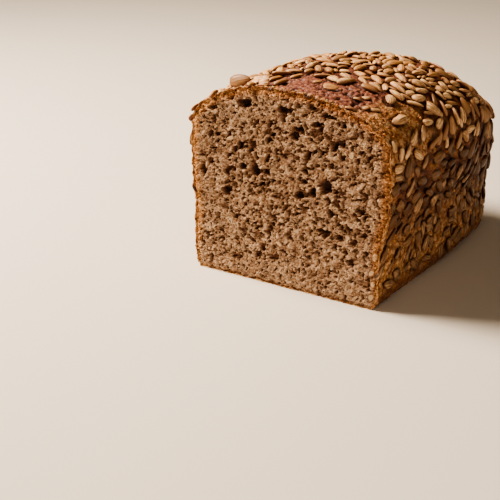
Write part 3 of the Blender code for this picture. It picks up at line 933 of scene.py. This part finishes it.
def crumb_material():
    """Wheat and rye crumb, raised with gas and cut with a saw-edged knife: matt, pored, flecked with bran,
    with painted shade deep in its pores and painted light on parts of its rim.
    """
    material, tree, shader = begun("wheat and rye crumb", 0.9)
    place = add(tree, "TexCoord").outputs["Object"]
    cloud = add(tree, "TexNoise", {"Vector": place, "Scale": 1 / (7 * MM), "Detail": 5, "Roughness": 0.65})
    stops = (0.34, "#947A66"), (0.5, "#B4967A"), (0.68, "#CCB094")
    base = add(tree, "ValToRGB", {"Fac": cloud}, stops)
    bran = add(tree, "TexNoise", {"Vector": place, "Scale": 1 / (0.9 * MM), "Detail": 3, "Roughness": 0.65})
    fleck = add(tree, "ValToRGB", {"Fac": bran}, ((0.34, 1.0), (0.43, 0.0)))
    husk = add(tree, "ValToRGB", {"Fac": bran}, ((0.58, 0.0), (0.7, 0.9)))
    pit, edge, lumps, painted_rim_light, seed = (
        add(tree, "Attribute", attribute_name=name).outputs["Fac"]
        for name in ("pit", "edge", "lumps", "painted_rim_light", "seed")
    )
    # deeper in a pore the crumb turns browner, partly its inner walls' own colour and partly painted shade,
    # down to near black in the deepest
    wall, sunk_shade, deep = (
        add(tree, "MapRange", {"Value": pit, "From Min": start, "From Max": end, "To Max": most})
        for start, end, most in ((0.25, 0.9, 0.7), (0.9, 2.3, 0.85), (2.3, 3.6, 0.95))
    )
    ragged = add(tree, "Math", {0: cloud, 1: 3.4}, operation="MULTIPLY")
    reach = add(tree, "Math", {0: edge, 1: ragged}, operation="SUBTRACT")
    span = {"From Min": -0.8, "From Max": 2.0, "To Min": 1.0, "To Max": 0.0}
    rim = add(tree, "MapRange", {"Value": reach, **span})
    knob = add(tree, "Math", {0: lumps, 1: 0.14, 2: bran}, operation="MULTIPLY_ADD")
    stops = (0.38, "#5E341A"), (0.5, "#925A30"), (0.62, "#BA8654"), (0.76, "#E2BC92")
    browned = add(tree, "ValToRGB", {"Fac": knob}, stops)
    # painted highlight on the rim where the light catches it
    painted_rim_highlight = add(tree, "Math", {0: painted_rim_light, 1: 0.62}, operation="MULTIPLY")
    rind = layered(tree, browned, (painted_rim_highlight, "#EABA84"))
    ring = add(tree, "MapRange", {"Value": seed, "From Min": 0.0, "From Max": -1.0, "To Max": 0.45})
    kernel = add(tree, "MapRange", {"Value": seed, "To Max": 0.6})
    colour = layered(
        tree, base, (fleck, "#82583A"), (husk, "#E6CCAE"), (wall, "#A07A58"), (sunk_shade, "#72442A"),
        (deep, "#220C05"), (rim, rind), (ring, "#7A4218"), (kernel, "#D0B48C"),
    )
    fine = add(tree, "TexNoise", {"Vector": place, "Scale": 1 / (0.6 * MM), "Detail": 3, "Roughness": 0.65})
    bump = add(tree, "Bump", {"Height": fine, "Strength": 1, "Distance": 0.5 * MM})
    feed(tree, shader, {"Base Color": colour, "Normal": bump})
    return material


def crust_material():
    """Crust browned in the tin, floury on top and amber where it is young, low down partly as painted light:
    matt, with a dull shine, and painted shade in its pits and round the kernels.
    """
    material, tree, shader = begun("baked crust", 0.6)
    place = add(tree, "TexCoord").outputs["Object"]
    cloud = add(tree, "TexNoise", {"Vector": place, "Scale": 1 / (8 * MM), "Detail": 6, "Roughness": 0.7})
    stops = (0.38, "#301207"), (0.46, "#56260D"), (0.54, "#7A4018"), (0.64, "#A46C30")
    base = add(tree, "ValToRGB", {"Fac": cloud}, stops)
    blotch = add(tree, "TexNoise", {"Vector": place, "Scale": 1 / (2.4 * MM), "Detail": 4, "Roughness": 0.6})
    stops = (0.38, "#784420"), (0.49, "#BA8046"), (0.6, "#E4B682")
    golden = add(tree, "ValToRGB", {"Fac": blotch}, stops)
    dust = add(tree, "TexNoise", {"Vector": place, "Scale": 1 / (1.4 * MM), "Detail": 5, "Roughness": 0.75})
    stops = (0.38, "#4C251A"), (0.5, "#784534"), (0.62, "#A66C52")
    mauve = add(tree, "ValToRGB", {"Fac": dust}, stops)
    grains = add(tree, "TexVoronoi", {"Vector": place, "Scale": 1 / (1.1 * MM)})
    raised = add(tree, "ValToRGB", {"Fac": grains}, ((0.1, 0.34), (0.35, 0.0)))
    amber, floury, pit, groove_and_shade = (
        add(tree, "Attribute", attribute_name=name).outputs["Fac"]
        for name in ("amber", "floury", "pit", "groove_and_shade")
    )
    # painted shade: the crust is darkened in the groove round each kernel, where the kernel shades it, a
    # little less low down
    painted_groove_shade = add(tree, "Math", {0: groove_and_shade, 1: 0.85}, operation="MULTIPLY")
    # painted shade: the crust is darkened in its pits and in the dents of lost kernels
    colour = layered(
        tree, base, (amber, golden), (raised, "#C4945C"), (floury, mauve), (pit, "#3C160A"),
        (painted_groove_shade, "#401806"),
    )
    fine = add(tree, "TexNoise", {"Vector": place, "Scale": 1 / (0.9 * MM), "Detail": 4, "Roughness": 0.7})
    height = add(tree, "Math", {0: fine, 1: grains}, operation="SUBTRACT")
    soft = add(tree, "MapRange", {"Value": floury, "To Min": 1.0, "To Max": 0.3})
    bump = add(tree, "Bump", {"Height": height, "Strength": soft, "Distance": 0.5 * MM})
    feed(tree, shader, {"Base Color": colour, "Normal": bump})
    return material


def kernel_material(name, tones, vein, painted_flank_shade):
    """Hulled sunflower kernels toasted on the crust: fine veins, flanks painted darker as shade and a faint
    oily shine.
    """
    material, tree, shader = begun(name, 0.48)
    tone = add(tree, "Attribute", attribute_name="tone").outputs["Fac"]
    base = add(tree, "ValToRGB", {"Fac": tone}, tones)
    grain_at = add(tree, "Attribute", attribute_name="grain").outputs["Vector"]
    stretched = add(tree, "Mapping", {"Vector": grain_at, "Scale": (0.22, 1.6, 1)})
    streak = add(tree, "TexNoise", {"Vector": stretched, "Scale": 1, "Detail": 3, "Roughness": 0.6})
    veins = add(tree, "ValToRGB", {"Fac": streak}, ((0.4, 0.9), (0.58, 0.0)))
    rise = add(tree, "Attribute", attribute_name="rise").outputs["Fac"]
    span = {"From Min": -0.08, "From Max": 0.3, "To Min": 1.0, "To Max": 0.0}
    # painted shade: a kernel darkens towards its base, where it is shaded
    low = add(tree, "MapRange", {"Value": rise, **span})
    colour = layered(tree, base, (veins, vein), (low, painted_flank_shade))
    bump = add(tree, "Bump", {"Height": streak, "Strength": 0.6, "Distance": 0.35 * MM})
    feed(tree, shader, {"Base Color": colour, "Normal": bump})
    return material


def flake_material():
    """Crumbs and flakes of crust: dry, matt and of every brown of the bake."""
    material, tree, shader = begun("crust crumbs", 0.8)
    tone = add(tree, "Attribute", attribute_name="tone").outputs["Fac"]
    stops = (0.0, "#7A4218"), (0.5, "#B06E34"), (0.85, "#CC9660"), (1.0, "#E2C090")
    base = add(tree, "ValToRGB", {"Fac": tone}, stops)
    feed(tree, shader, {"Base Color": base})
    return material


def floor_material():
    """Matt pale paper."""
    material, tree, shader = begun("pale paper", 0.9)
    feed(tree, shader, {"Base Color": linear("#D8D2C8")})
    return material


# ---- The setting ----

FLOOR_HALF = 4  # metres
FLOOR_DROP = 0.05 * MM  # keeps it clear of the loaf's bottom
LIT = Vector((0, 0, 50 * MM))  # what the lights are aimed at
# The lights: place and diameter in metres, power in watts, and colour
LIGHTS = (
    ("window", (-0.55, -0.17, 0.67), 0.4, 23, "#FFEBD4"),
    ("ceiling", (0.25, -0.36, 0.95), 0.4, 0.8, "#FFE2C0"),
    ("reflector", (0.38, -0.40, 0.10), 0.24, 0.76, "#FFEAD8"),
)
CAMERA_AT = 0.28315, -0.52358, 0.23109
CAMERA_DOWN, CAMERA_TURN = 21.63, 33.82  # degrees
CAMERA_LENS, CAMERA_SENSOR = 86.4, 36


def add_floor():
    form = bmesh.new()
    bmesh.ops.create_grid(form, x_segments=1, y_segments=1, size=FLOOR_HALF)
    floor = shown("floor", form, floor_material())
    floor.location.z = -FLOOR_DROP
    floor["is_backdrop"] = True


def add_light(name, place, size, power, colour):
    light = bpy.data.lights.new(name, "AREA")
    light.shape, light.size, light.energy = "DISK", size, power
    light.color = linear(colour)[:3]
    lamp = linked(name, light)
    lamp.location = place
    lamp.rotation_euler = (LIT - Vector(place)).to_track_quat("-Z", "Y").to_euler()


def add_camera():
    data = bpy.data.cameras.new("camera")
    data.lens, data.sensor_width = CAMERA_LENS, CAMERA_SENSOR
    camera = linked("camera", data)
    camera.location = CAMERA_AT
    camera.rotation_euler = Euler((math.radians(90 - CAMERA_DOWN), 0, math.radians(CAMERA_TURN)))
    bpy.context.scene.camera = camera


def light_room():
    world = bpy.data.worlds.new("soft room")
    world.use_nodes = True
    tree = world.node_tree
    feed(tree, tree.nodes["Background"], {"Color": linear("#FFE0BA"), "Strength": 0.08})
    bpy.context.scene.world = world
    bpy.context.scene.view_settings.look = "AgX - Medium High Contrast"
    for light in LIGHTS:
        add_light(*light)


# The kernels' tones, from the most toasted over the palest to the dullest, which is also the tone of the
# painted shade
STRAW = (0.0, "#9C7640"), (0.2, "#DCA66C"), (0.5, "#FFD6A0"), (0.75, "#CEA474"), (1.0, "#8E6840")
OLIVE = (
    (0.0, "#7A401E"), (0.2, "#A27448"), (0.45, "#CCA478"), (0.65, "#926C46"), (0.85, "#735332"),
    (1.0, "#593A1F"),
)

rng = random.Random(SEED)
noise.seed_set(WARP_SEED)
crust = crust_form()
cover = Cover()
lay_noted(cover, BVHTree.FromBMesh(crust))
scatter_kernels(cover, crust, rng)
dress_crust(crust, cover.kernels)
crust.normal_update()
loose_crumbs(crust, rng, flake_material())
add_lip(crust)
bmesh.ops.recalc_face_normals(crust, faces=crust.faces)
finished("crust", crust, crust_material())
# the last colour of each is the painted shade on the kernels' flanks
plump = kernel_material("toasted sunflower kernel", STRAW, "#966A42", "#6E4022")
flat = kernel_material("sunflower kernel baked into the crust", OLIVE, "#5E3A1C", "#3A1808")
kernel_piece("top_kernels", [k for k in cover.kernels if not k.pressed], plump, rng)
kernel_piece("side_kernels", [k for k in cover.kernels if k.pressed], flat, rng)
crumb_piece(crumb_material())
add_floor()
light_room()
add_camera()

made_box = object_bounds()
[[list(corner) for corner in box] for box in (cad_box, made_box)]
